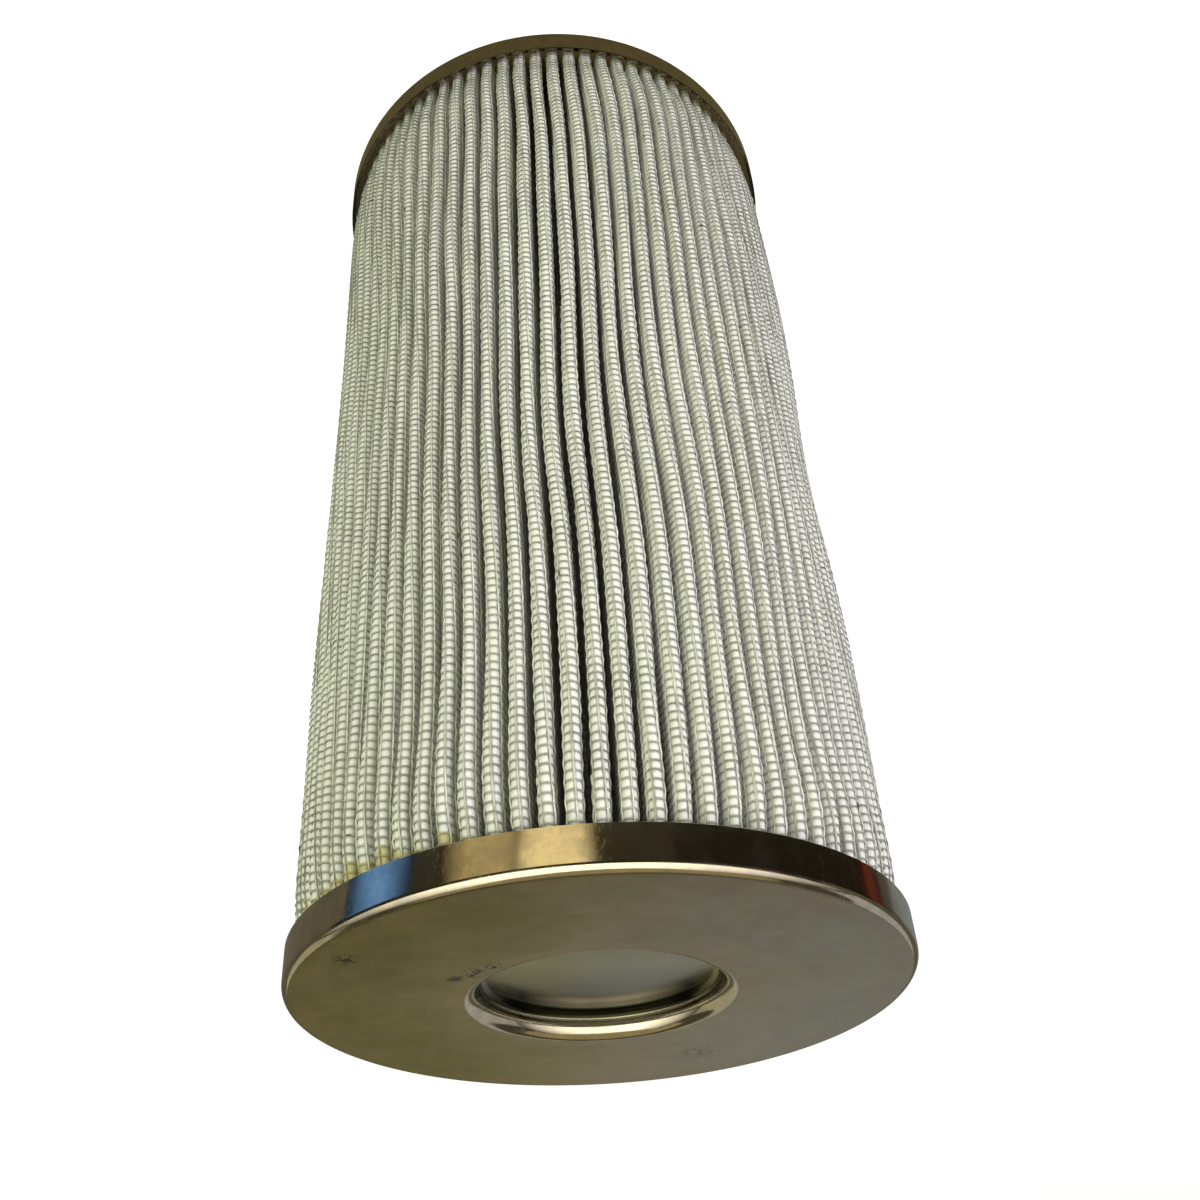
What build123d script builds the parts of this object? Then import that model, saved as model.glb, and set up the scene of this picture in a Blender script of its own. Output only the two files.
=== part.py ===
from build123d import *
from math import cos, pi, sin
import os

# Pleated return-line filter element: media and wire cloth folded together as one pack round a
# slotted core, and potted into two pressed steel end caps. The closed end is blanked by a disc
# behind its flanged hole, and the open end holds a rubber seal for the outlet spigot.
#
# Millimetres, +Z up. The origin is the centre of the open end's face, which the element stands on.

# ---- Element ----
element_length = 257.0      # over the outer faces of both end caps
cap_radius = 65.0           # outside of the caps' rims

# ---- End caps: pressed zinc-plated sheet ----
cap_sheet = 0.9             # sheet thickness
rim_height = 8.8            # outer face to the rim's free edge
rim_bend = 1.8              # outside radius between face and rim
flange_bore_radius = 25.5   # inside of the hole's inward-turned collar
flange_bend = 3.1           # radius of the turn from face to collar
closed_collar_depth = 5.4   # face to the collar's cut edge, closed end
open_collar_depth = 13.0    # the same at the open end, long enough for the seal
bend_facets = 2             # flat bands that round each turn of the sheet

# ---- Blanking disc behind the closed end's collar ----
disc_overlap = 2.0          # how far the disc reaches past the collar's outside
disc_thickness = 1.0

# ---- Outlet seal: a rubber ring bonded inside the open end's collar ----
seal_section = 3.0          # radial thickness
seal_length = 8.0
seal_bond_gap = 0.05        # film of bond between seal and collar

# ---- Potting that bonds the pack and the core into each cap ----
potting_depth = 3.0
potting_rim_gap = 0.05      # to the inside of the cap's rim
potting_inner_step = 1.5    # how far the potting reaches inside the core's bore

# ---- Pleated pack: glass-fibre media under epoxy-coated wire cloth, folded as one sheet ----
pleat_count = 80
pleat_depth = 19.1          # crest to inner fold, along a radius
pack_rim_clearance = 0.3    # crests to the inside of the caps' rims
crest_width = 3.5           # across one fold, two layers of the sheet back to back
sheet_thickness = 1.75      # media, its fleece backing and the cloth
wire_spacing = 2.5          # between the cloth's lengthwise wires, over a crest
wires_per_crest = 2
facets_per_wire = 4         # flat bands over a crest from one wire to the next
wire_height = 0.25          # how far each wire stands above the media between wires
slit_mouth_width = 0.7      # opening between the two legs of a fold, on the core's side

# ---- Core tube: slotted steel sheet inside the pack ----
core_clearance = 0.3        # core to the inner folds
core_wall = 1.0
slot_rows = 4
slot_columns = 4
slot_width = 10.0
slot_height = 24.0

# ---- Derived places ----
rim_inner_radius = cap_radius - cap_sheet
crest_radius = rim_inner_radius - pack_rim_clearance
inner_fold_radius = crest_radius - pleat_depth
core_outer_radius = inner_fold_radius - core_clearance
core_inner_radius = core_outer_radius - core_wall
pack_bottom = cap_sheet + potting_depth
pack_height = element_length - 2 * pack_bottom
half_pitch = pi / pleat_count


def turn(centre, radius, start, end, steps):
    """Points round an arc, from one angle to another."""
    angles = [start + (end - start) * i / steps for i in range(steps + 1)]
    return [(centre[0] + radius * cos(a), centre[1] + radius * sin(a)) for a in angles]


def end_cap(collar_depth):
    """Pressed cap with its outer face on z = 0 and its rim and collar turned up.

    The half-section runs from the rim's free edge, round the outside to the collar's cut edge,
    and back along the inside.
    """
    rim_turn = turn((cap_radius - rim_bend, rim_bend), rim_bend, 0, -pi / 2, bend_facets)
    bend_radius = flange_bore_radius + flange_bend
    collar_turn = turn((bend_radius, flange_bend), flange_bend, -pi / 2, -pi, bend_facets)
    collar_outside = flange_bore_radius + cap_sheet
    outside = [(cap_radius, rim_height), *rim_turn, *collar_turn]
    inside = [
        (flange_bore_radius, collar_depth),
        (collar_outside, collar_depth),
        (collar_outside, flange_bend),
        (bend_radius, cap_sheet),
        (rim_inner_radius, cap_sheet),
        (rim_inner_radius, rim_height),
    ]
    section = make_face(Plane.XZ * Polyline(*outside, *inside, close=True))
    return revolve(section, Axis.Z)


def flipped_to_top(shape):
    """A shape modelled on the open end's face, turned over onto the closed end's."""
    return Pos(0, 0, element_length) * Rot(180, 0, 0) * shape


def ring(outer_radius, inner_radius, height):
    """Flat ring that stands on z = 0."""
    return extrude(Circle(outer_radius) - Circle(inner_radius), height)


def blanking_disc():
    """Disc held against the cut edge of the closed end's collar."""
    disc_radius = flange_bore_radius + cap_sheet + disc_overlap
    return Pos(0, 0, closed_collar_depth) * extrude(Circle(disc_radius), disc_thickness)


def outlet_seal():
    """Rubber ring bonded inside the open end's collar, flush with the collar's cut edge."""
    outer_radius = flange_bore_radius - seal_bond_gap
    seal = ring(outer_radius, outer_radius - seal_section, seal_length)
    return Pos(0, 0, open_collar_depth - seal_length) * seal


def potting():
    """Ring of adhesive on the inside of a cap, under the ends of the pack and the core."""
    adhesive = ring(
        rim_inner_radius - potting_rim_gap, core_inner_radius - potting_inner_step, potting_depth
    )
    return Pos(0, 0, cap_sheet) * adhesive


def ridged_crest():
    """Points round a fold that lies along +X, rising to each lengthwise wire of the cloth."""
    half_width = crest_width / 2
    step_angle = wire_spacing / half_width / facets_per_wire
    steps = facets_per_wire * wires_per_crest
    points = []
    for step in range(steps + 1):
        angle = (step - steps / 2) * step_angle
        on_wire = step % facets_per_wire == facets_per_wire / 2
        radius = half_width if on_wire else half_width - wire_height
        points.append((crest_radius - half_width + radius * cos(angle), radius * sin(angle)))
    return points


def round_the_pack(pleat_points):
    """One pleat's points repeated for every pleat, as a closed outline."""
    points = []
    for pleat in range(pleat_count):
        turned = 2 * half_pitch * pleat
        for x, y in pleat_points:
            points.append((x * cos(turned) - y * sin(turned), x * sin(turned) + y * cos(turned)))
    return make_face(Polyline(*points, close=True))


def pleated_pack():
    """Folded sheet: ridged crests and sharp valleys outside, a slit up each pleat inside."""
    valley_radius = inner_fold_radius + sheet_thickness
    valley = (valley_radius * cos(half_pitch), valley_radius * sin(half_pitch))
    outside = round_the_pack([*ridged_crest(), valley])
    slit_tip = (crest_radius - sheet_thickness, 0)
    half_mouth = slit_mouth_width / 2
    mouth = [(inner_fold_radius, -half_mouth), slit_tip, (inner_fold_radius, half_mouth)]
    return Pos(0, 0, pack_bottom) * extrude(outside - round_the_pack(mouth), pack_height)


def core_tube():
    """Tube inside the inner folds, with rows of slots that let the oil through."""
    tube = Pos(0, 0, pack_bottom) * ring(core_outer_radius, core_inner_radius, pack_height)
    row_pitch = pack_height / slot_rows
    slots = []
    for row in range(slot_rows):
        height = pack_bottom + (row + 0.5) * row_pitch
        for column in range(slot_columns // 2):
            cut = Box(3 * core_outer_radius, slot_width, slot_height)
            slots.append(Pos(0, 0, height) * Rot(0, 0, 360 / slot_columns * column) * cut)
    return tube - slots


def build_parts():
    """Every node of the element, by name."""
    return {
        "open_end_cap": end_cap(open_collar_depth),
        "closed_end_cap": flipped_to_top(end_cap(closed_collar_depth)),
        "blanking_disc": flipped_to_top(blanking_disc()),
        "outlet_seal": outlet_seal(),
        "open_end_potting": potting(),
        "closed_end_potting": flipped_to_top(potting()),
        "pleated_pack": pleated_pack(),
        "core_tube": core_tube(),
    }


os.makedirs("parts", exist_ok=True)
for node, shape in build_parts().items():
    export_step(shape, f"parts/{node}.step")
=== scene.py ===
import math

import bpy
from bpy.props import FloatProperty, FloatVectorProperty, IntProperty, PointerProperty
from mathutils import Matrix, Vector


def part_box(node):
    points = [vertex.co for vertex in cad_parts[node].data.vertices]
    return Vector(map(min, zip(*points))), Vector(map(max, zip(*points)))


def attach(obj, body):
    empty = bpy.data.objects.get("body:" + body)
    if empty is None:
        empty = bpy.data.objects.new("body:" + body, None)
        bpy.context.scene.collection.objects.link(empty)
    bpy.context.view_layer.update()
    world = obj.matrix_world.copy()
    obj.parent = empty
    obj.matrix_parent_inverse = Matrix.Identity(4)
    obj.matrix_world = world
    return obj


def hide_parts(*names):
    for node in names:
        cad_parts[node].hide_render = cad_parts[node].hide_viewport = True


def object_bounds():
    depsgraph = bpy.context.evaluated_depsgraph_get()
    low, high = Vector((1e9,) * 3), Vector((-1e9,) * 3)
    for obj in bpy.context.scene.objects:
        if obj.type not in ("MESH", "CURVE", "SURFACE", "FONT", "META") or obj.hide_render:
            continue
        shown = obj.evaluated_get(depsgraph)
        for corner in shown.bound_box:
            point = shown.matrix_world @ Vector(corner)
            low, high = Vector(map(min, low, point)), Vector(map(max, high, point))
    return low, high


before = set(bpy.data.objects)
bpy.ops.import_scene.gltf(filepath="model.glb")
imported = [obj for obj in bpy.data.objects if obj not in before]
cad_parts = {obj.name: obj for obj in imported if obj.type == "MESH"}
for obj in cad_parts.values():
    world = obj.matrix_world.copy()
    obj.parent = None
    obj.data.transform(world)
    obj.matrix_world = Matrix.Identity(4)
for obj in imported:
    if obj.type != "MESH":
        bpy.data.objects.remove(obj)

bl_info = {
    "name": "Pleated filter element",
    "version": (1, 0, 0),
    "blender": (4, 5, 0),
    "location": "View3D > Sidebar > Filter",
    "description": "Dresses a pleated filter element: end caps, folded media and its wire cloth",
    "category": "Object",
}

MM = 0.001
CAD_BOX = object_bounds()
TOP_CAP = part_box("closed_end_cap")
FOOT_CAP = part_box("open_end_cap")
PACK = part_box("pleated_pack")
RIM_HEIGHT = TOP_CAP[1].z - TOP_CAP[0].z

# Places on the closed end's face, in millimetres: X, Y and how far the flecks spread.
FACE_FLECKS = (
    (48.5, -29.8, 3.2), (29.0, -17.0, 2.6), (25.2, -19.2, 3.2), (21.0, -22.4, 2.2),
)
RUST_SPOT = (-23.5, 40.0, 6.0)


# ---------------------------------------------------------------- settings

class CapSettings(bpy.types.PropertyGroup):
    """Sizes and colour of the pressed end caps."""

    sheet: FloatProperty(
        name="Sheet", description="Thickness of the steel", default=0.9 * MM, unit="LENGTH"
    )
    rim_height: FloatProperty(
        name="Rim height", description="From the face to the rim's free edge", default=8.8 * MM,
        unit="LENGTH",
    )
    rim_bend: FloatProperty(
        name="Rim bend", description="Outside radius of the turn into the rim",
        default=2.0 * MM, unit="LENGTH",
    )
    bore: FloatProperty(
        name="Bore", description="Inside radius of the collar", default=25.5 * MM, unit="LENGTH"
    )
    collar_bend: FloatProperty(
        name="Collar bend", description="Radius of the turn into the collar",
        default=3.1 * MM, unit="LENGTH",
    )
    top_collar: FloatProperty(
        name="Closed end's collar", description="Depth of the closed end's collar",
        default=5.4 * MM, unit="LENGTH",
    )
    foot_collar: FloatProperty(
        name="Open end's collar", description="Depth of the open end's collar",
        default=13.0 * MM, unit="LENGTH",
    )
    dip: FloatProperty(
        name="Dip", description="How far the face sinks beside the collar",
        default=0.14 * MM, unit="LENGTH",
    )
    dip_width: FloatProperty(
        name="Dip width", description="Width of the sunk ring", default=3.3 * MM, unit="LENGTH"
    )
    steps: IntProperty(name="Steps", description="Facets round a cap", default=240, min=48)
    steel: FloatVectorProperty(
        name="Steel", description="Mid tone of the passivated zinc", subtype="COLOR",
        default=(0.26, 0.23, 0.155),
    )


class PackSettings(bpy.types.PropertyGroup):
    """Sizes and colours of the folded media and the wire cloth over it."""

    pleats: IntProperty(name="Pleats", description="Folds round the pack", default=80, min=8)
    clearance: FloatProperty(
        name="Clearance", description="Crests to the inside of the caps' rims",
        default=0.3 * MM, unit="LENGTH",
    )
    fold_width: FloatProperty(
        name="Fold width", description="Across one fold, wires included", default=3.5 * MM,
        unit="LENGTH",
    )
    sheet: FloatProperty(
        name="Sheet", description="Thickness of media and cloth together", default=1.75 * MM,
        unit="LENGTH",
    )
    depth: FloatProperty(
        name="Depth", description="Outside of the pack to the inner folds", default=19.1 * MM,
        unit="LENGTH",
    )
    wire: FloatProperty(
        name="Wire", description="Diameter of a coated wire", default=0.30 * MM, unit="LENGTH"
    )
    row_pitch: FloatProperty(
        name="Row pitch", description="From one cross wire to the next", default=1.79 * MM,
        unit="LENGTH",
    )
    wire_pitch: FloatProperty(
        name="Wire pitch", description="From one lengthwise wire to the next",
        default=2.5 * MM, unit="LENGTH",
    )
    skew: FloatProperty(
        name="Skew", description="How far the lengthwise wires slant across the folds",
        default=math.radians(2.3), unit="ROTATION",
    )
    draw: FloatProperty(
        name="Draw", description="How far the crests are drawn in where they meet the caps",
        default=1.7 * MM, unit="LENGTH",
    )
    sway: FloatProperty(
        name="Sway", description="How far neighbouring folds wander together",
        default=2.3 * MM, unit="LENGTH",
    )
    lean: FloatProperty(
        name="Lean", description="How far single folds wander", default=0.9 * MM, unit="LENGTH"
    )
    media: FloatVectorProperty(
        name="Media", description="Glass fibre under its fleece", subtype="COLOR",
        default=(0.79, 0.78, 0.745),
    )
    coating: FloatVectorProperty(
        name="Coating", description="Epoxy on the wires", subtype="COLOR",
        default=(0.36, 0.37, 0.31),
    )


class StageSettings(bpy.types.PropertyGroup):
    """Floor, camera and light."""

    camera_place: FloatVectorProperty(
        name="Camera place", description="Where the camera stands", subtype="TRANSLATION",
        default=(9.2 * MM, -259.7 * MM, 342.2 * MM),
    )
    camera_turn: FloatVectorProperty(
        name="Camera turn", description="Tilt, roll and heading of the camera", subtype="EULER",
        default=tuple(math.radians(angle) for angle in (-53.432, -2.602, 179.733)),
    )
    lens: FloatProperty(name="Lens", description="Focal length in millimetres", default=37.64)
    floor_side: FloatProperty(
        name="Floor", description="Side of the square floor", default=9.0, unit="LENGTH"
    )
    ring_radius: FloatProperty(
        name="Card ring", description="Radius of the ring of reflector cards", default=0.42,
        unit="LENGTH",
    )


# ---------------------------------------------------------------- modelling helpers

def deselect():
    """Leaves edit mode and selects nothing."""
    if bpy.context.mode != "OBJECT":
        bpy.ops.object.mode_set(mode="OBJECT")
    bpy.ops.object.select_all(action="DESELECT")


def name_active(name):
    """Names the object that was just added, and its mesh."""
    piece = bpy.context.active_object
    piece.name = name
    piece.data.name = name
    return piece


def activate(*pieces):
    """Selects pieces, the first of them active."""
    deselect()
    for piece in pieces:
        piece.select_set(True)
    bpy.context.view_layer.objects.active = pieces[0]


def select_where(piece, wanted):
    """Selects, in edit mode, the vertices whose place passes a test."""
    bpy.ops.object.mode_set(mode="EDIT")
    bpy.ops.mesh.select_mode(type="VERT")
    bpy.ops.mesh.select_all(action="DESELECT")
    bpy.ops.object.mode_set(mode="OBJECT")
    for vertex in piece.data.vertices:
        vertex.select = wanted(vertex.co)
    bpy.ops.object.mode_set(mode="EDIT")


def extrude_by(*step):
    """Extrudes what is selected by one step."""
    bpy.ops.mesh.extrude_region_move(TRANSFORM_OT_translate={"value": step})


def copy_of(piece, name):
    """Copy of a piece with a mesh of its own."""
    activate(piece)
    bpy.ops.object.duplicate(linked=False)
    return name_active(name)


def turn_about_axis(piece, angle):
    """Turns a piece's mesh about the element's axis."""
    activate(piece)
    piece.rotation_euler = (0, 0, angle)
    bpy.ops.object.transform_apply(rotation=True)


def join_pieces(name, pieces):
    """Joins pieces into the first of them."""
    activate(*pieces)
    bpy.ops.object.join()
    return name_active(name)


def repeat_up(piece, count, pitch, merge=False):
    """Repeats a piece upwards."""
    array = piece.modifiers.new("Rows", "ARRAY")
    array.count = count
    array.use_relative_offset = False
    array.use_constant_offset = True
    array.constant_offset_displace = (0, 0, pitch)
    array.use_merge_vertices = merge
    array.merge_threshold = 0.01 * MM
    activate(piece)
    bpy.ops.object.modifier_apply(modifier=array.name)


def repeat_round(piece, count, merge=False):
    """Repeats a piece round the element's axis."""
    deselect()
    bpy.ops.object.empty_add(location=(0, 0, 0), rotation=(0, 0, 2 * math.pi / count))
    pivot = bpy.context.active_object
    array = piece.modifiers.new("Round", "ARRAY")
    array.count = count
    array.use_relative_offset = False
    array.use_object_offset = True
    array.offset_object = pivot
    array.use_merge_vertices = merge
    array.use_merge_vertices_cap = merge
    array.merge_threshold = 0.02 * MM
    activate(piece)
    bpy.ops.object.modifier_apply(modifier=array.name)
    bpy.data.objects.remove(pivot)


def finish_piece(piece, material, angle=40):
    """Smooths a piece, gives it its material and hangs it on the element."""
    activate(piece)
    bpy.ops.object.transform_apply(location=True, rotation=True, scale=True)
    bpy.ops.object.shade_smooth_by_angle(angle=math.radians(angle))
    piece.data.materials.clear()
    piece.data.materials.append(material)
    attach(piece, "root")
    deselect()


def arc(centre, radius, start, end, steps):
    """Points round an arc of a section, between two angles in degrees."""
    angles = [math.radians(start + (end - start) * i / steps) for i in range(steps + 1)]
    return [(centre[0] + radius * math.cos(a), centre[1] + radius * math.sin(a)) for a in angles]


def turned(name, section, steps):
    """Ring extruded and scaled from point to point of a closed section of radius and height."""
    deselect()
    radius, height = section[0]
    bpy.ops.mesh.primitive_circle_add(vertices=steps, radius=radius, location=(0, 0, height))
    piece = name_active(name)
    bpy.ops.object.transform_apply(location=True)
    bpy.ops.object.mode_set(mode="EDIT")
    bpy.ops.mesh.select_all(action="SELECT")
    for next_radius, next_height in [*section[1:], section[0]]:
        extrude_by(0, 0, next_height - height)
        grow = next_radius / radius
        bpy.ops.transform.resize(value=(grow, grow, 1), center_override=(0, 0, 0))
        radius, height = next_radius, next_height
    bpy.ops.mesh.select_all(action="SELECT")
    bpy.ops.mesh.remove_doubles(threshold=0.005 * MM)
    bpy.ops.mesh.normals_make_consistent(inside=False)
    bpy.ops.object.mode_set(mode="OBJECT")
    return piece


# ---------------------------------------------------------------- shader helpers

def new_material(name):
    """Material with nothing in its tree but the output, and the tree."""
    material = bpy.data.materials.new(name)
    material.use_nodes = True
    tree = material.node_tree
    tree.nodes.clear()
    tree.nodes.new("ShaderNodeOutputMaterial")
    return material, tree


def node(tree, kind, **values):
    """New shader node. Each value goes to the attribute or the input of its name."""
    made = tree.nodes.new(kind)
    for key, value in values.items():
        if hasattr(made, key):
            setattr(made, key, value)
        else:
            made.inputs[key.replace("_", " ")].default_value = value
    return made


def link(tree, *pairs):
    """Links pairs of sockets."""
    for source, target in pairs:
        tree.links.new(source, target)


def calc(tree, operation, first, second=0.0):
    """Output of a Math node on two sockets or numbers."""
    made = node(tree, "ShaderNodeMath", operation=operation)
    for socket, value in zip(made.inputs, (first, second)):
        if isinstance(value, (int, float)):
            socket.default_value = value
        else:
            tree.links.new(value, socket)
    return made.outputs[0]


def blend(tree, factor, first, second, mode="MIX"):
    """Output of a mix of two colours, each a socket or numbers."""
    made = node(tree, "ShaderNodeMix", data_type="RGBA", blend_type=mode)
    for socket, value in zip((made.inputs[0], made.inputs[6], made.inputs[7]),
                             (factor, first, second)):
        if isinstance(value, (int, float)):
            socket.default_value = value
        elif isinstance(value, tuple):
            socket.default_value = (*value[:3], 1.0)
        else:
            tree.links.new(value, socket)
    return made.outputs[2]


def remap(tree, value, low, high, to_low=0.0, to_high=1.0):
    """Output of a clamped change of range."""
    made = node(tree, "ShaderNodeMapRange", From_Min=low, From_Max=high, To_Min=to_low,
                To_Max=to_high)
    tree.links.new(value, made.inputs[0])
    return made.outputs[0]


def between(tree, value, low, high, soft):
    """1 where a value lies between two others, with soft edges."""
    rise = remap(tree, value, low - soft, low + soft)
    fall = remap(tree, value, high - soft, high + soft, 1.0, 0.0)
    return calc(tree, "MULTIPLY", rise, fall)


def tint(colour, *gains):
    """A colour with its channels scaled, by one gain or by three."""
    gains = gains * 3 if len(gains) == 1 else gains
    return tuple(min(1.0, channel * gain) for channel, gain in zip(colour, gains))


# ---------------------------------------------------------------- shader groups

def new_group(name, inputs, outputs):
    """Shader group with named sockets, and its input and output nodes."""
    tree = bpy.data.node_groups.new(name, "ShaderNodeTree")
    for direction, sockets in (("INPUT", inputs), ("OUTPUT", outputs)):
        for label, kind in sockets.items():
            tree.interface.new_socket(label, in_out=direction, socket_type=f"NodeSocket{kind}")
    return tree, tree.nodes.new("NodeGroupInput").outputs, tree.nodes.new("NodeGroupOutput").inputs


def use(tree, name, **values):
    """Places a shader group in a material, its values given as numbers or sockets."""
    made = node(tree, "ShaderNodeGroup", node_tree=bpy.data.node_groups[name])
    for key, value in values.items():
        if isinstance(value, (int, float, tuple)):
            made.inputs[key].default_value = value
        else:
            tree.links.new(value, made.inputs[key])
    return made.outputs


def place_group():
    """Point, distance from the axis and height, in millimetres."""
    tree, _, out = new_group("element_place", {},
                             {"Point": "Vector", "Radius": "Float", "Height": "Float"})
    place = node(tree, "ShaderNodeTexCoord")
    grow = node(tree, "ShaderNodeVectorMath", operation="SCALE", Scale=1 / MM)
    parts = node(tree, "ShaderNodeSeparateXYZ")
    link(tree, (place.outputs["Object"], grow.inputs[0]), (grow.outputs[0], parts.inputs[0]))
    squares = [calc(tree, "MULTIPLY", part, part) for part in parts.outputs[:2]]
    radius = calc(tree, "SQRT", calc(tree, "ADD", *squares))
    link(tree, (grow.outputs[0], out["Point"]), (radius, out["Radius"]),
         (parts.outputs[2], out["Height"]))


def clouds_group():
    """Cloudy mask of two sizes of noise."""
    tree, given, out = new_group(
        "clouds", {"Point": "Vector", "Size": "Float", "Contrast": "Float"}, {"Mask": "Float"}
    )
    large = node(tree, "ShaderNodeTexNoise", Detail=2.0, Roughness=0.55)
    small = node(tree, "ShaderNodeTexNoise", Detail=4.0, Roughness=0.6)
    scale = calc(tree, "DIVIDE", 1.0, given["Size"])
    link(tree, (given["Point"], large.inputs["Vector"]), (scale, large.inputs["Scale"]),
         (given["Point"], small.inputs["Vector"]),
         (calc(tree, "MULTIPLY", scale, 4.3), small.inputs["Scale"]))
    both = calc(tree, "ADD", calc(tree, "MULTIPLY", large.outputs[0], 2.2),
                calc(tree, "MULTIPLY", small.outputs[0], 0.8))
    spread = calc(tree, "MULTIPLY", calc(tree, "SUBTRACT", both, 1.5), given["Contrast"])
    clamp = node(tree, "ShaderNodeClamp")
    link(tree, (calc(tree, "ADD", spread, 0.5), clamp.inputs[0]), (clamp.outputs[0], out["Mask"]))


def scratches_group():
    """Sparse fine scratches, drawn out by the stretch of the point that it is given."""
    tree, given, out = new_group(
        "scratches", {"Point": "Vector", "Stretch": "Vector", "Amount": "Float"},
        {"Mask": "Float"},
    )
    drawn = node(tree, "ShaderNodeVectorMath", operation="MULTIPLY")
    lines = node(tree, "ShaderNodeTexNoise", Scale=1.0, Detail=2.0, Distortion=0.2)
    patches = node(tree, "ShaderNodeTexNoise", Scale=0.05, Detail=1.0)
    link(tree, (given["Point"], drawn.inputs[0]), (given["Stretch"], drawn.inputs[1]),
         (drawn.outputs[0], lines.inputs["Vector"]), (given["Point"], patches.inputs["Vector"]))
    thin = between(tree, lines.outputs[0], 0.635, 0.65, 0.012)
    where = remap(tree, patches.outputs[0], 0.45, 0.62)
    mask = calc(tree, "MULTIPLY", calc(tree, "MULTIPLY", thin, where), given["Amount"])
    link(tree, (mask, out["Mask"]))


def specks_group():
    """Small scattered spots."""
    tree, given, out = new_group(
        "specks", {"Point": "Vector", "Spacing": "Float", "Size": "Float"}, {"Mask": "Float"}
    )
    cells = node(tree, "ShaderNodeTexVoronoi")
    link(tree, (given["Point"], cells.inputs["Vector"]),
         (calc(tree, "DIVIDE", 1.0, given["Spacing"]), cells.inputs["Scale"]))
    chance = node(tree, "ShaderNodeSeparateColor")
    link(tree, (cells.outputs["Color"], chance.inputs[0]))
    chosen = calc(tree, "GREATER_THAN", chance.outputs[0], 0.72)
    ratio = calc(tree, "DIVIDE", cells.outputs["Distance"],
                 calc(tree, "DIVIDE", given["Size"], given["Spacing"]))
    spot = remap(tree, ratio, 0.6, 1.0, 1.0, 0.0)
    link(tree, (calc(tree, "MULTIPLY", spot, chosen), out["Mask"]))


def soaked_group(top):
    """Where adhesive has crept out of the top cap into the cloth, further on the +X side."""
    tree, given, out = new_group("soaked", {"Point": "Vector"}, {"Mask": "Float"})
    creep = node(tree, "ShaderNodeTexNoise", Scale=0.16, Detail=1.0)
    parts = node(tree, "ShaderNodeSeparateXYZ")
    link(tree, (given["Point"], creep.inputs["Vector"]), (given["Point"], parts.inputs[0]))
    reach = remap(tree, parts.outputs[0], 5.0, 42.0, 0.0, 4.4)
    uneven = remap(tree, creep.outputs[0], 0.3, 0.7, -1.4, 1.4)
    reach = calc(tree, "SUBTRACT", top, calc(tree, "ADD", reach, uneven))
    above = calc(tree, "SUBTRACT", parts.outputs[2], reach)
    link(tree, (remap(tree, above, -0.3, 0.7), out["Mask"]))


def make_groups():
    """Builds the shader groups once."""
    soaked_group(TOP_CAP[0].z / MM)
    place_group()
    clouds_group()
    scratches_group()
    specks_group()


# ---------------------------------------------------------------- materials

def close_material(tree, shader, colour, rough, relief, distance=MM):
    """Links a finish's colour, roughness and relief to its shader and the shader to the output."""
    bump = node(tree, "ShaderNodeBump", Strength=1.0, Distance=distance)
    link(tree, (relief, bump.inputs["Height"]), (bump.outputs[0], shader.inputs["Normal"]),
         (colour, shader.inputs["Base Color"]), (rough, shader.inputs["Roughness"]),
         (shader.outputs[0], tree.nodes["Material Output"].inputs[0]))


def flecks(tree, point, x, y, size):
    """Cluster of flecks about a spot of the closed end's face, in millimetres."""
    away = node(tree, "ShaderNodeVectorMath", operation="DISTANCE")
    away.inputs[1].default_value = (x, y, TOP_CAP[1].z / MM)
    chips = node(tree, "ShaderNodeTexNoise", Scale=0.75, Detail=1.0, Distortion=0.8)
    link(tree, (point, away.inputs[0]), (point, chips.inputs["Vector"]))
    near = remap(tree, away.outputs["Value"], size * 0.4, size, 1.0, 0.0)
    return calc(tree, "MULTIPLY", near, remap(tree, chips.outputs[0], 0.47, 0.50))


def painted_face_reflection(tree, point, colour):
    """Painted reflection tinting the passivated faces: olive towards +X, grey-blue towards -X,
    duller towards -Y, broken up by clouds.
    """
    parts = node(tree, "ShaderNodeSeparateXYZ")
    link(tree, (point, parts.inputs[0]))
    clouds = use(tree, "clouds", Point=point, Size=34.0, Contrast=1.3)["Mask"]
    side = calc(tree, "ADD", parts.outputs[0], calc(tree, "MULTIPLY", clouds, 30.0))
    tone = blend(tree, remap(tree, side, -35.0, 20.0), tint(colour, 1.0, 1.12, 1.34),
                 tint(colour, 0.96, 0.95, 0.82))
    tone = blend(tree, remap(tree, side, 15.0, 66.0), tone, tint(colour, 0.56, 0.59, 0.22))
    gain = remap(tree, parts.outputs[1], -60.0, 60.0, 0.88, 1.30)
    return blend(tree, 1.0, tone, gain, "MULTIPLY")


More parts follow.
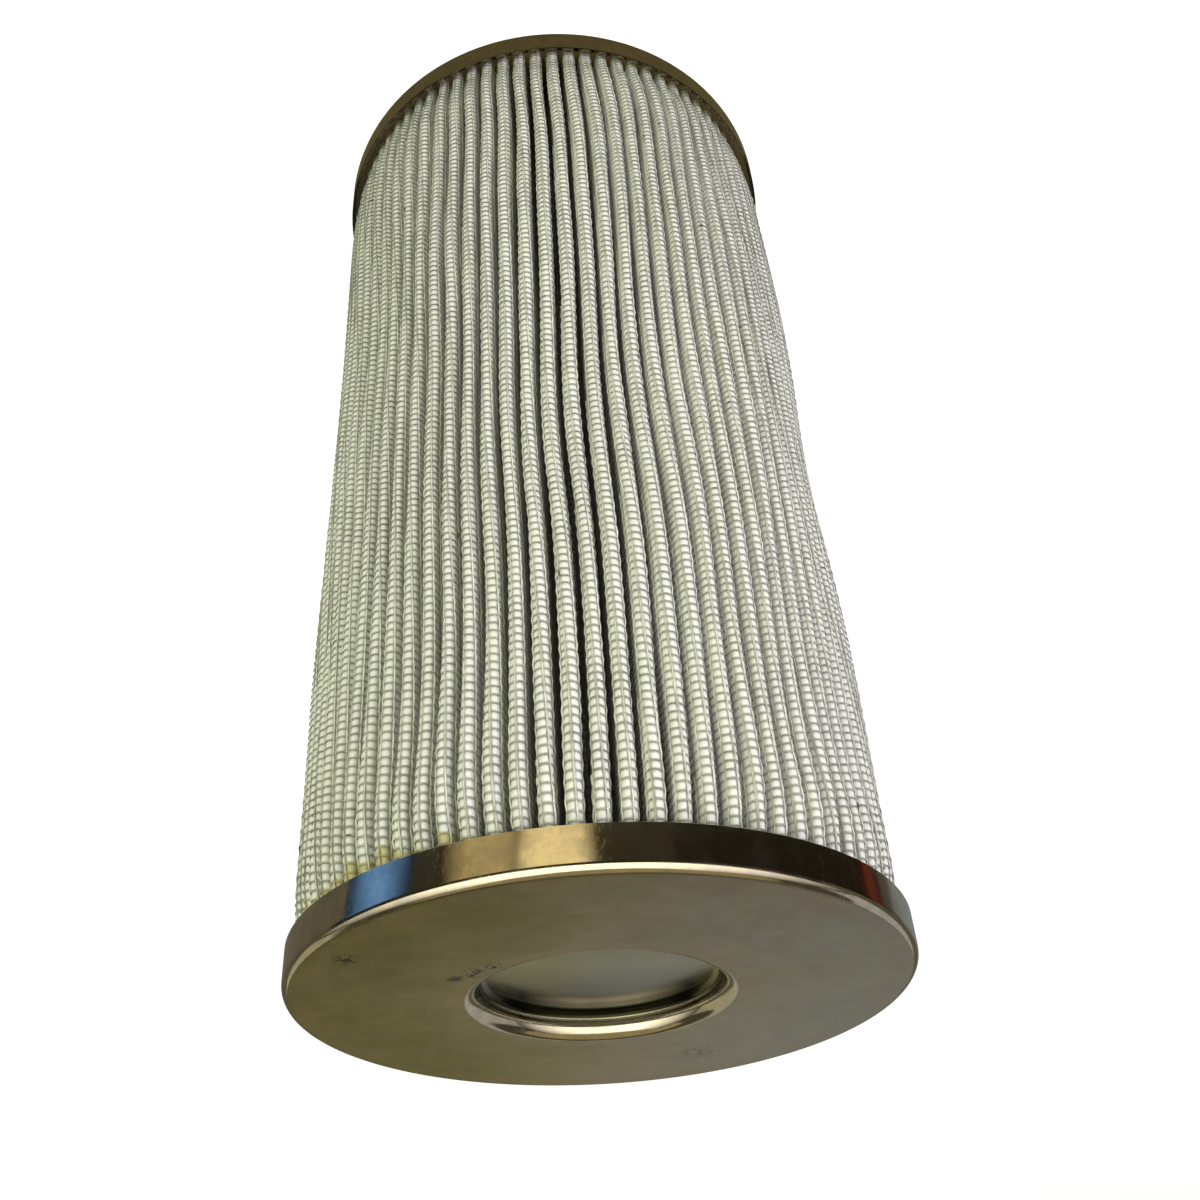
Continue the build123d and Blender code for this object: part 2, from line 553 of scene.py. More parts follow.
def cap_steel(name, colour):
    """Yellow-passivated zinc: satin and clouded on the face, glossy where the sheet is drawn."""
    material, tree = new_material(name)
    point, radius, _ = use(tree, "element_place")[:3]
    stains = use(tree, "clouds", Point=point, Size=9.0, Contrast=1.3)["Mask"]
    blotches = use(tree, "clouds", Point=point, Size=4.0, Contrast=1.6)["Mask"]
    scratches = use(tree, "scratches", Point=point, Stretch=(2.0, 0.09, 1.0), Amount=0.9)["Mask"]
    streaks = use(tree, "scratches", Point=point, Stretch=(1.6, 1.6, 0.12), Amount=0.8)["Mask"]
    specks = use(tree, "specks", Point=point, Spacing=11.0, Size=0.35)["Mask"]
    # Painted reflection: the face is tinted by side, for the blurred surroundings that it mirrors.
    tone = painted_face_reflection(tree, point, colour)
    tone = blend(tree, calc(tree, "MULTIPLY", stains, 0.5), tone, (1.28, 1.22, 1.12), "MULTIPLY")
    worn_edge = calc(tree, "MULTIPLY", between(tree, radius, 58.0, 63.0, 2.5), stains)
    tone = blend(tree, calc(tree, "MULTIPLY", worn_edge, 0.35), tone, tint(colour, 1.1, 0.8, 0.5))
    # Painted highlight: the sunk ring beside the collar is lightened, for the light that its slope
    # catches.
    sunk = between(tree, radius, 28.6, 31.4, 0.9)
    tone = blend(tree, calc(tree, "MULTIPLY", sunk, 0.3), tone, tint(colour, 1.3, 1.2, 1.05))
    rim = calc(tree, "GREATER_THAN", radius, 63.7)
    collar = between(tree, radius, 20.0, 28.2, 0.3)
    drawn = calc(tree, "MAXIMUM", rim, collar)
    bright = blend(tree, blotches, (0.64, 0.58, 0.44), (0.50, 0.47, 0.38))
    tone = blend(tree, calc(tree, "MULTIPLY", drawn, 0.9), tone, bright)
    # Painted shade: the inside of the closed end's collar, down in its recess, and the free edge
    # of the open end's rim are darkened to dark brown, as shade falls there.
    depth = node(tree, "ShaderNodeSeparateXYZ")
    link(tree, (point, depth.inputs[0]))
    painted_shade = between(tree, depth.outputs[2], 240.0, TOP_CAP[1].z / MM - 2.9, 0.35)
    painted_shade = calc(tree, "MULTIPLY", painted_shade, calc(tree, "LESS_THAN", radius, 28.0))
    edge = between(tree, depth.outputs[2], RIM_HEIGHT / MM - 0.3, RIM_HEIGHT / MM + 0.2, 0.1)
    painted_shade = calc(tree, "MAXIMUM", painted_shade, edge)
    tone = blend(tree, calc(tree, "MULTIPLY", painted_shade, 0.9), tone, (0.10, 0.08, 0.045))
    tone = blend(tree, calc(tree, "MULTIPLY", scratches, 0.6), tone, tint(colour, 1.7))
    dark = specks
    for x, y, size in FACE_FLECKS:
        dark = calc(tree, "MAXIMUM", dark, flecks(tree, point, x, y, size))
    tone = blend(tree, calc(tree, "MULTIPLY", dark, 0.97), tone, tint(colour, 0.05))
    rust = flecks(tree, point, *RUST_SPOT)
    tone = blend(tree, calc(tree, "MULTIPLY", rust, 0.5), tone, (0.16, 0.08, 0.03))
    rough = remap(tree, drawn, 0.0, 1.0, 0.33, 0.085)
    rough = calc(tree, "ADD", rough, calc(tree, "MULTIPLY", blotches, 0.07))
    rough = calc(tree, "ADD", rough, calc(tree, "MULTIPLY", streaks, 0.22))
    waves = node(tree, "ShaderNodeTexNoise", Scale=0.09, Detail=1.0)
    grain = node(tree, "ShaderNodeTexNoise", Scale=3.0, Detail=2.0)
    link(tree, (point, waves.inputs["Vector"]), (point, grain.inputs["Vector"]))
    relief = calc(tree, "ADD", calc(tree, "MULTIPLY", waves.outputs[0], 0.12),
                  calc(tree, "MULTIPLY", grain.outputs[0], 0.003))
    relief = calc(tree, "SUBTRACT", relief, calc(tree, "MULTIPLY", scratches, 0.006))
    shader = node(tree, "ShaderNodeBsdfPrincipled", Metallic=1.0)
    close_material(tree, shader, tone, rough, relief)
    return material


def folded_media(name, colour):
    """Fleece over glass fibre, swelling between the wires and stained beside the top cap, with
    painted shade along the wires and down into the folds.
    """
    material, tree = new_material(name)
    point, radius, _ = use(tree, "element_place")[:3]
    cloth = node(tree, "ShaderNodeUVMap", uv_map="cloth")
    parts = node(tree, "ShaderNodeSeparateXYZ")
    link(tree, (cloth.outputs[0], parts.inputs[0]))
    waves = []
    for axis in parts.outputs[:2]:
        wave = calc(tree, "ABSOLUTE", calc(tree, "SINE", calc(tree, "MULTIPLY", axis, math.pi)))
        waves.append(calc(tree, "POWER", wave, 0.5))
    swell = calc(tree, "MULTIPLY", *waves)
    clouds = use(tree, "clouds", Point=point, Size=26.0, Contrast=1.1)["Mask"]
    fibres = node(tree, "ShaderNodeTexNoise", Scale=2.4, Detail=4.0)
    link(tree, (point, fibres.inputs["Vector"]))
    tone = blend(tree, clouds, tint(colour, 0.97, 1.0, 0.94), tint(colour, 1.02, 1.0, 1.0))
    # Painted shade: the media darkens towards the wires, as shade falls under them.
    shade = remap(tree, swell, 0.15, 0.80, 0.46, 1.0)
    tone = blend(tree, 1.0, tone, shade, "MULTIPLY")
    # Painted shade: the media darkens down into the gaps between the folds.
    fold_gap_shade = remap(tree, radius, 55.0, 62.2, 0.78, 1.0)
    tone = blend(tree, 1.0, tone, fold_gap_shade, "MULTIPLY")
    soaked = use(tree, "soaked", Point=point)["Mask"]
    tone = blend(tree, calc(tree, "MULTIPLY", soaked, 0.75), tone, (0.50, 0.45, 0.16))
    rough = remap(tree, soaked, 0.0, 1.0, 0.62, 0.35)
    relief = calc(tree, "ADD", calc(tree, "MULTIPLY", swell, 0.30),
                  calc(tree, "MULTIPLY", fibres.outputs[0], 0.03))
    shader = node(tree, "ShaderNodeBsdfPrincipled")
    close_material(tree, shader, tone, rough, relief)
    return material


def wire_coating(name, colour):
    """Thin epoxy over steel wire, uneven, with dark pinholes."""
    material, tree = new_material(name)
    point = use(tree, "element_place")["Point"]
    clouds = use(tree, "clouds", Point=point, Size=5.0, Contrast=1.2)["Mask"]
    holes = use(tree, "specks", Point=point, Spacing=7.0, Size=0.9)["Mask"]
    grain = node(tree, "ShaderNodeTexNoise", Scale=4.0, Detail=2.0)
    link(tree, (point, grain.inputs["Vector"]))
    tone = blend(tree, clouds, tint(colour, 0.75), tint(colour, 1.3))
    tone = blend(tree, calc(tree, "MULTIPLY", holes, 0.9), tone, (0.02, 0.02, 0.015))
    soaked = use(tree, "soaked", Point=point)["Mask"]
    tone = blend(tree, calc(tree, "MULTIPLY", soaked, 0.6), tone, (0.52, 0.45, 0.17))
    rough = remap(tree, clouds, 0.0, 1.0, 0.30, 0.48)
    shader = node(tree, "ShaderNodeBsdfPrincipled", Metallic=0.15)
    close_material(tree, shader, tone, rough, grain.outputs[0], 0.01 * MM)
    return material


def clouded(name, colour, rough, metallic=0.0, size=6.0, spread=0.25):
    """Clouded finish of the inner pieces: rubber, adhesive and plain steel."""
    material, tree = new_material(name)
    point = use(tree, "element_place")["Point"]
    clouds = use(tree, "clouds", Point=point, Size=size, Contrast=1.0)["Mask"]
    grain = node(tree, "ShaderNodeTexNoise", Scale=2.0, Detail=3.0)
    link(tree, (point, grain.inputs["Vector"]))
    tone = blend(tree, clouds, tint(colour, 1 - spread), tint(colour, 1 + spread))
    worn = remap(tree, clouds, 0.0, 1.0, rough * 0.8, rough * 1.2)
    shader = node(tree, "ShaderNodeBsdfPrincipled", Metallic=metallic)
    close_material(tree, shader, tone, worn, grain.outputs[0], 0.02 * MM)
    return material


def disc_steel(name, colour):
    """Dull plate with a painted reflection: it darkens towards its +Y side, where it would mirror
    the dark inside of the collar.
    """
    material, tree = new_material(name)
    point = use(tree, "element_place")["Point"]
    clouds = use(tree, "clouds", Point=point, Size=12.0, Contrast=1.0)["Mask"]
    grain = node(tree, "ShaderNodeTexNoise", Scale=2.0, Detail=3.0)
    parts = node(tree, "ShaderNodeSeparateXYZ")
    link(tree, (point, grain.inputs["Vector"]), (point, parts.inputs[0]))
    tone = blend(tree, clouds, tint(colour, 0.9), tint(colour, 1.1))
    # Painted reflection: more than 4.3 mm below the face, the plate darkens towards +Y, for the
    # dark inside of the collar that it would mirror.
    dark_reflection_reach = calc(tree, "ADD", parts.outputs[1], calc(tree, "MULTIPLY", clouds, 4.0))
    dark_reflection_reach = calc(tree, "ADD", dark_reflection_reach, calc(tree, "MULTIPLY", parts.outputs[0], 0.10))
    away = calc(tree, "LESS_THAN", parts.outputs[2], TOP_CAP[1].z / MM - 4.3)
    dark_reflection = calc(tree, "MULTIPLY", remap(tree, dark_reflection_reach, -5.0, 15.0), away)
    tone = blend(tree, dark_reflection, tone, tint(colour, 0.08))
    rough = remap(tree, dark_reflection, 0.0, 1.0, 0.22, 0.15)
    shader = node(tree, "ShaderNodeBsdfPrincipled", Metallic=1.0)
    close_material(tree, shader, tone, rough, grain.outputs[0], 0.02 * MM)
    return material


def dress_node(name, material):
    """Gives a CAD node its material."""
    for slot in bpy.data.objects[name].material_slots:
        slot.material = material


# ---------------------------------------------------------------- end caps

def cap_section(caps, rim, face, inward, collar_depth):
    """Closed section of a cap, from the collar's foot over the face to the rim and back inside.

    Depths are measured inwards from the face.
    """
    crown = caps.bore + caps.collar_bend
    bend = rim - caps.rim_bend
    sunk = caps.dip + caps.collar_bend
    nip = 0.12 * MM
    outside = [
        (caps.bore, collar_depth),
        *arc((crown, sunk), caps.collar_bend, 180, 270, 10),
        (crown + caps.dip_width * 0.35, caps.dip * 0.85),
        (crown + caps.dip_width * 0.75, caps.dip * 0.25),
        (crown + caps.dip_width, 0),
        (crown + caps.dip_width + 1 * MM, 0),
        (bend - 1 * MM, 0),
        *arc((bend, caps.rim_bend), caps.rim_bend, 270, 360, 10),
        (rim, caps.rim_height - nip),
        (rim - nip, caps.rim_height),
    ]
    inside = [
        (rim - caps.sheet, caps.rim_height),
        *arc((bend, caps.rim_bend), caps.rim_bend - caps.sheet, 360, 270, 4),
        (crown + caps.dip_width, caps.sheet),
        *arc((crown, sunk), caps.collar_bend - caps.sheet, 270, 180, 6),
        (caps.bore + caps.sheet, collar_depth),
    ]
    return [(radius, face + inward * depth) for radius, depth in [*outside, *inside]]


class FILTER_OT_end_caps(bpy.types.Operator):
    """Turns the two pressed end caps, which stand for the CAD ones"""

    bl_idname = "filter_element.end_caps"
    bl_label = "End caps"

    def execute(self, context):
        caps = context.scene.filter_caps
        steel = cap_steel("passivated_steel", tuple(caps.steel))
        rim = TOP_CAP[1].x
        top_section = cap_section(caps, rim, TOP_CAP[1].z, -1, caps.top_collar)
        foot_section = cap_section(caps, rim, FOOT_CAP[0].z, 1, caps.foot_collar)
        for name, section, cad in (
            ("closed_cap_pressing", top_section, "closed_end_cap"),
            ("open_cap_pressing", foot_section, "open_end_cap"),
        ):
            piece = turned(name, section, caps.steps)
            finish_piece(piece, steel)
            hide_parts(cad)
        return {"FINISHED"}


def disc_section(caps, radius, face, thickness):
    """Section of the disc, from its flat back over the edge and the lip to the domed middle."""
    lip = caps.bore - 0.05 * MM
    fillet = 1.7 * MM
    seat = caps.top_collar
    plate = lip - fillet
    dome = [
        (plate * part, seat - 0.8 * MM * (1 - part * part))
        for part in (0.96, 0.88, 0.76, 0.62, 0.46, 0.3, 0.14, 0.04)
    ]
    section = [
        (radius, seat + thickness),
        (radius, seat),
        (lip, seat - 0.01 * MM),
        (lip, seat - fillet),
        *arc((plate, seat - fillet), fillet - 0.01 * MM, 0, 90, 8),
        *dome,
    ]
    return [(place, face - depth) for place, depth in section]


def lathed(name, section, steps):
    """Solid extruded and scaled from point to point of an open section, flat at both ends."""
    deselect()
    radius, height = section[0]
    bpy.ops.mesh.primitive_circle_add(vertices=steps, radius=radius, fill_type="NGON",
                                      location=(0, 0, height))
    piece = name_active(name)
    bpy.ops.object.transform_apply(location=True)
    bpy.ops.object.mode_set(mode="EDIT")
    bpy.ops.mesh.select_mode(type="FACE")
    bpy.ops.mesh.select_all(action="SELECT")
    for next_radius, next_height in section[1:]:
        extrude_by(0, 0, next_height - height)
        grow = next_radius / radius
        bpy.ops.transform.resize(value=(grow, grow, 1), center_override=(0, 0, 0))
        radius, height = next_radius, next_height
    bpy.ops.mesh.select_all(action="SELECT")
    bpy.ops.mesh.normals_make_consistent(inside=False)
    bpy.ops.object.mode_set(mode="OBJECT")
    return piece


class FILTER_OT_blanking_disc(bpy.types.Operator):
    """Presses the disc that blanks the closed end, which stands for the CAD one"""

    bl_idname = "filter_element.blanking_disc"
    bl_label = "Blanking disc"

    def execute(self, context):
        caps = context.scene.filter_caps
        low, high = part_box("blanking_disc")
        section = disc_section(caps, high.x, TOP_CAP[1].z, high.z - low.z)
        disc = lathed("pressed_disc", section, caps.steps // 2)
        finish_piece(disc, disc_steel("disc_steel", (0.265, 0.265, 0.17)))
        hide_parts("blanking_disc")
        return {"FINISHED"}


# ---------------------------------------------------------------- folded media and wires

CROSS_ROWS = (45, 45, 44)                 # rows of cross wires in the low, middle and high band
ROW_PAIRS = 71                            # pairs of rows that a lengthwise wire runs past
MEDIA_ROWS = 38                           # rows of faces up a fold of the media
SOFT_FROM = 52 * MM                       # radius from which the folds are free to move
WIRE_PHASES = (0.5, 0.72, 0.38, 0.1)      # of a wire pitch, for folds side by side
SKEW_SHARES = (1.0, 0.8, 1.25, 0.6)       # of the cloth's skew, for the same folds


def fold_sizes(pack):
    """Sizes of a fold that lies along +X."""
    half = pack.fold_width / 2
    outside = TOP_CAP[1].x - bpy.context.scene.filter_caps.sheet - pack.clearance
    return {
        "crest": outside - half,
        "media": half - pack.wire,
        "wires": half - pack.wire / 2,
        "valley": outside - pack.depth + pack.sheet,
        "inner": outside - pack.depth,
        "half_turn": math.pi / pack.pleats,
        "first_row": TOP_CAP[0].z - sum(CROSS_ROWS) * pack.row_pitch,
        "middle": (PACK[0].z + PACK[1].z) / 2,
    }


def across_fold(place, sizes):
    """Distance over the unfolded cloth from a crest's middle to a place on the fold."""
    beyond = place.x - sizes["crest"]
    if beyond > 0:
        return sizes["wires"] * math.atan2(place.y, beyond)
    return math.copysign(sizes["wires"] * math.pi / 2 - beyond, place.y)


def on_fold(distance, lift, sizes):
    """Place on a fold at a distance over the cloth from its crest's middle, lifted off it."""
    reach = sizes["wires"] + lift
    quarter = sizes["wires"] * math.pi / 2
    if abs(distance) <= quarter:
        angle = distance / sizes["wires"]
        return sizes["crest"] + reach * math.cos(angle), reach * math.sin(angle)
    return sizes["crest"] - (abs(distance) - quarter), math.copysign(reach, distance)


def upright_line(name, x, y, low, high, rows):
    """Upright line of edges, left selected in edit mode for an extrusion."""
    deselect()
    bpy.ops.mesh.primitive_grid_add(x_subdivisions=1, y_subdivisions=rows, size=2,
                                    location=(0, 0, 0), rotation=(math.pi / 2, 0, 0))
    piece = name_active(name)
    bpy.ops.object.transform_apply(rotation=True)
    select_where(piece, lambda place: place.x > 0)
    bpy.ops.mesh.delete(type="VERT")
    bpy.ops.mesh.select_all(action="SELECT")
    bpy.ops.transform.resize(value=(1, 1, (high - low) / 2), center_override=(0, 0, 0))
    bpy.ops.transform.translate(value=(x + 1, y, (low + high) / 2))
    return piece


def one_fold(name, sizes, rows):
    """One pleat, closed at its ends: flank, crest and flank outside, two half folds inside."""
    low, high = PACK[0].z, PACK[1].z
    turn = sizes["half_turn"]
    valley = (sizes["valley"] * math.cos(turn), sizes["valley"] * math.sin(turn))
    ridge = (sizes["inner"] * math.cos(turn), sizes["inner"] * math.sin(turn))
    flank_foot = valley[0] + 0.4 * MM
    flank = [flank_foot + (sizes["crest"] - flank_foot) * part for part in (0, 0.35, 0.6, 0.8, 1)]
    half_width = sizes["media"]
    piece = upright_line(name, valley[0], -valley[1], low, high, rows)
    x, y = valley[0], -valley[1]
    for next_x in flank:
        extrude_by(next_x - x, -half_width - y, 0)
        x, y = next_x, -half_width
    bpy.ops.mesh.spin(steps=8, angle=math.pi, center=(sizes["crest"], 0, 0), axis=(0, 0, -1))
    y = half_width
    for next_x in reversed(flank[:-1]):
        extrude_by(next_x - x, 0, 0)
        x = next_x
    throat = math.hypot(valley[0], valley[1]) - 0.1 * MM
    middle = (ridge[0] + valley[0]) / 2
    inner = [valley, ridge, (middle, 0.35 * MM), (throat, 0.05 * MM), (throat, -0.05 * MM),
             (middle, -0.35 * MM), (ridge[0], -ridge[1]), (valley[0], -valley[1])]
    for next_x, next_y in inner:
        extrude_by(next_x - x, next_y - y, 0)
        x, y = next_x, next_y
    bpy.ops.mesh.select_all(action="SELECT")
    bpy.ops.mesh.remove_doubles(threshold=0.005 * MM)
    for end in (low, high):
        select_where(piece, lambda place: abs(place.z - end) < 0.01 * MM)
        bpy.ops.mesh.edge_face_add()
    bpy.ops.mesh.select_all(action="SELECT")
    bpy.ops.mesh.normals_make_consistent(inside=False)
    bpy.ops.mesh.select_all(action="DESELECT")
    bpy.ops.object.mode_set(mode="OBJECT")
    for face in piece.data.polygons:
        ray = math.atan2(abs(face.center.y), face.center.x)
        face.select = abs(ray - turn) < 1e-4 and abs(face.normal.z) < 0.5
    bpy.ops.object.mode_set(mode="EDIT")
    bpy.ops.mesh.select_mode(type="FACE")
    bpy.ops.mesh.delete(type="FACE")
    bpy.ops.object.mode_set(mode="OBJECT")
    return piece


def map_cloth(piece, phase, skew, pack, sizes):
    """Cloth map that counts wires: across the fold one way and up the element the other."""
    layer = piece.data.uv_layers.new(name="cloth")
    for loop, corner in zip(piece.data.loops, layer.data):
        place = piece.data.vertices[loop.vertex_index].co
        slant = (place.z - sizes["middle"]) * math.tan(skew)
        corner.uv = (
            (across_fold(place, sizes) + slant) / pack.wire_pitch + phase,
            (place.z - sizes["first_row"]) / pack.row_pitch,
        )


def draw_in(piece, pack):
    """Draws the crests in towards the caps, where the folds are potted."""
    for vertex in piece.data.vertices:
        place = vertex.co
        radius = math.hypot(place.x, place.y)
        outward = max(0, min(1, (radius - SOFT_FROM) / (8 * MM)))
        inside = min(place.z - RIM_HEIGHT, TOP_CAP[0].z - place.z) / (14 * MM)
        shift = pack.draw * outward * (1 - max(0, min(1, inside))) ** 2
        place.x *= 1 - shift / radius
        place.y *= 1 - shift / radius


def wander(piece, pack):
    """Lets the crests sway and lean between the caps, while the inner folds stay put."""
    draw_in(piece, pack)
    groups = {}
    for vertex in piece.data.vertices:
        place = vertex.co
        outward = (math.hypot(place.x, place.y) - SOFT_FROM) / (10 * MM)
        free = min(place.z - RIM_HEIGHT, TOP_CAP[0].z - place.z) / (24 * MM)
        weight = max(0, min(1, outward)) * max(0, min(1, free))
        groups.setdefault(round(weight * 40) / 40, []).append(vertex.index)
    loose = piece.vertex_groups.new(name="loose")
    for weight, indices in groups.items():
        loose.add(indices, weight, "REPLACE")
    deselect()
    bpy.ops.object.empty_add(location=(0, 0, 0))
    stretch = bpy.context.active_object
    for label, size, draw, strength in (
        ("sway", 42 * MM, 1.4, pack.sway), ("lean", 11 * MM, 5.5, pack.lean)
    ):
        texture = bpy.data.textures.get(label) or bpy.data.textures.new(label, "CLOUDS")
        texture.cloud_type = "COLOR"
        texture.noise_scale = size
        texture.noise_depth = 0
        stretch.scale = (1, 1, draw)
        bpy.context.view_layer.update()
        push = piece.modifiers.new(label, "DISPLACE")
        push.texture = texture
        push.texture_coords = "OBJECT"
        push.texture_coords_object = stretch
        push.direction = "RGB_TO_XYZ"
        push.mid_level = 0.5
        push.strength = strength
        push.vertex_group = loose.name
        activate(piece)
        bpy.ops.object.modifier_apply(modifier=push.name)
    bpy.data.objects.remove(stretch)
    piece.vertex_groups.clear()


def in_turn(name, first, phases):
    """Copies of a fold's piece, one for each wire phase, each beside the last."""
    pieces = [first]
    for index in range(1, len(phases)):
        pieces.append(copy_of(first, f"{name}_{index}"))
    return pieces


class FILTER_OT_folded_media(bpy.types.Operator):
    """Folds the filter media and repeats the fold round the element"""

    bl_idname = "filter_element.folded_media"
    bl_label = "Folded media"

    def execute(self, context):
        pack = context.scene.filter_pack
        sizes = fold_sizes(pack)
        pieces = in_turn("fold", one_fold("fold", sizes, MEDIA_ROWS), WIRE_PHASES)
        for index, piece in enumerate(pieces):
            map_cloth(piece, WIRE_PHASES[index], pack.skew * SKEW_SHARES[index], pack, sizes)
            turn_about_axis(piece, 2 * sizes["half_turn"] * index)
        media = join_pieces("folded_media", pieces)
        repeat_round(media, pack.pleats // len(WIRE_PHASES), merge=True)
        activate(media)
        bpy.ops.object.mode_set(mode="EDIT")
        bpy.ops.mesh.select_all(action="SELECT")
        bpy.ops.mesh.remove_doubles(threshold=0.02 * MM)
        bpy.ops.object.mode_set(mode="OBJECT")
        wander(media, pack)
        finish_piece(media, folded_media("pleated_media", tuple(pack.media)),
                     angle=50)
        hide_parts("pleated_pack")
        return {"FINISHED"}


def close_ends(piece, is_end):
    """Closes each open end of a wire with a face."""
    for low_end in (True, False):
        select_where(piece, lambda place: is_end(place, low_end))
        bpy.ops.mesh.edge_face_add()
    bpy.ops.mesh.select_all(action="SELECT")
    bpy.ops.mesh.normals_make_consistent(inside=False)
    bpy.ops.object.mode_set(mode="OBJECT")


class FILTER_OT_cross_wires(bpy.types.Operator):
    """Bends one wire over a crest and repeats it up and round the element"""

    bl_idname = "filter_element.cross_wires"
    bl_label = "Cross wires"

    def execute(self, context):
        pack = context.scene.filter_pack
        sizes = fold_sizes(pack)
        coating = wire_coating("coated_wire", tuple(pack.coating))
        leg = 4.5 * MM
        deselect()
        bpy.ops.mesh.primitive_circle_add(
            vertices=3, radius=pack.wire * 0.56, rotation=(0, math.pi / 2, 0),
            location=(sizes["crest"] - leg, -sizes["wires"], sizes["first_row"]),
        )
        first = name_active("cross_wire")
        bpy.ops.object.transform_apply(location=True, rotation=True)
        bpy.ops.object.mode_set(mode="EDIT")
        bpy.ops.mesh.select_all(action="SELECT")
        extrude_by(leg, 0, 0)
        bpy.ops.mesh.spin(steps=5, angle=math.pi, center=(sizes["crest"], 0, 0), axis=(0, 0, -1))
        extrude_by(-leg, 0, 0)
        foot = sizes["crest"] - leg + 0.01 * MM
        close_ends(first, lambda place, low_end: place.x < foot and (place.y < 0) == low_end)
        base = 0
        for band, count in zip(("low", "middle", "high"), CROSS_ROWS):
            piece = copy_of(first, f"cross_wires_{band}")
            activate(piece)
            piece.location.z = base * pack.row_pitch
            bpy.ops.object.transform_apply(location=True)
            repeat_up(piece, count, pack.row_pitch)
            repeat_round(piece, pack.pleats)
            wander(piece, pack)
            finish_piece(piece, coating, angle=80)
            base += count
        bpy.data.objects.remove(first)
        return {"FINISHED"}


def flat_net(name, phase, skew, pack, sizes):
    """Lengthwise wires of one fold's strip of cloth, laid flat: X is lift and Y runs across.

    The strip is cut at the depth that shows between the folds.
    """
    over, under = 0.10 * MM, -0.12 * MM
    reach = sizes["wires"] * math.pi / 2 + 1.8 * MM
    strays = reach + PACK[1].z / 2 * math.tan(abs(skew))
    low = sizes["first_row"] - 4 * pack.row_pitch
    wires = []
    outermost = math.ceil(strays / pack.wire_pitch)
    for count in range(-outermost, outermost + 1):
        starts_over = count % 2 == 0
        first, second = (over, under) if starts_over else (under, over)
        deselect()
        bpy.ops.mesh.primitive_circle_add(
            vertices=3, radius=pack.wire * 0.56,
            location=(first, (count - phase) * pack.wire_pitch, low),
        )
        wire = name_active(f"{name}_{len(wires)}")
        bpy.ops.object.transform_apply(location=True)
        bpy.ops.object.mode_set(mode="EDIT")
        bpy.ops.mesh.select_all(action="SELECT")
        extrude_by(second - first, 0, pack.row_pitch)
        extrude_by(first - second, 0, pack.row_pitch)
        bpy.ops.object.mode_set(mode="OBJECT")
        repeat_up(wire, ROW_PAIRS, 2 * pack.row_pitch, merge=True)
        wires.append(wire)
    net = join_pieces(name, wires)
    for vertex in net.data.vertices:
        vertex.co.y -= (vertex.co.z - sizes["middle"]) * math.tan(skew)
    activate(net)
    bpy.ops.object.mode_set(mode="EDIT")
    edges = (
        ((0, reach, 0), (0, 1, 0)), ((0, -reach, 0), (0, -1, 0)),
        ((0, 0, PACK[0].z), (0, 0, -1)), ((0, 0, PACK[1].z), (0, 0, 1)),
    )
    for place, outwards in edges:
        bpy.ops.mesh.select_all(action="SELECT")
        bpy.ops.mesh.bisect(
            plane_co=place, plane_no=outwards, use_fill=True, clear_outer=True,
            threshold=0.0001 * MM,
        )
    bpy.ops.mesh.select_all(action="SELECT")
    bpy.ops.mesh.fill_holes(sides=0)
    bpy.ops.mesh.normals_make_consistent(inside=False)
    bpy.ops.object.mode_set(mode="OBJECT")
    return net


def wrap_over_fold(net, sizes):
    """Bends a flat strip of wires over the crest of a fold."""
    for vertex in net.data.vertices:
        lift, across, height = vertex.co
        vertex.co = (*on_fold(across, lift, sizes), height)


class FILTER_OT_lengthwise_wires(bpy.types.Operator):
    """Weaves the lengthwise wires, lays them over the folds and repeats them round the element"""

    bl_idname = "filter_element.lengthwise_wires"
    bl_label = "Lengthwise wires"

    def execute(self, context):
        pack = context.scene.filter_pack
        sizes = fold_sizes(pack)
        # Painted highlight: the lengthwise wires get the same epoxy made 1.7 times lighter, for
        # the side light that they catch.
        coating = wire_coating("coated_wire_lengthwise", tint(tuple(pack.coating), 1.7))
        for label, folds in (("a", (0, 1)), ("b", (2, 3))):
            nets = []
            for fold in folds:
                net = flat_net(f"net_{fold}", WIRE_PHASES[fold], pack.skew * SKEW_SHARES[fold],
                               pack, sizes)
                wrap_over_fold(net, sizes)
                turn_about_axis(net, 2 * sizes["half_turn"] * fold)
                nets.append(net)
            piece = join_pieces(f"lengthwise_wires_{label}", nets)
            repeat_round(piece, pack.pleats // len(WIRE_PHASES))
            wander(piece, pack)
            finish_piece(piece, coating, angle=80)
        return {"FINISHED"}


# ---------------------------------------------------------------- pieces kept from CAD

class FILTER_OT_inner_pieces(bpy.types.Operator):
    """Finishes the seal, the adhesive and the core, whose CAD shapes stay"""

    bl_idname = "filter_element.inner_pieces"
    bl_label = "Inner pieces"

    def execute(self, context):
        # The adhesive's own brown, made darker as painted shade for where it lies far inside the
        # caps.
        adhesive = clouded("adhesive", (0.22, 0.165, 0.06), 0.45, size=8.0)
        dress_node("open_end_potting", adhesive)
        dress_node("closed_end_potting", adhesive)
        dress_node("core_tube", clouded("core_steel", (0.45, 0.45, 0.42), 0.35, 1.0, 20.0, 0.15))
        dress_node("outlet_seal", clouded("seal_rubber", (0.022, 0.022, 0.024), 0.55, size=5.0))
        return {"FINISHED"}


# ---------------------------------------------------------------- stage

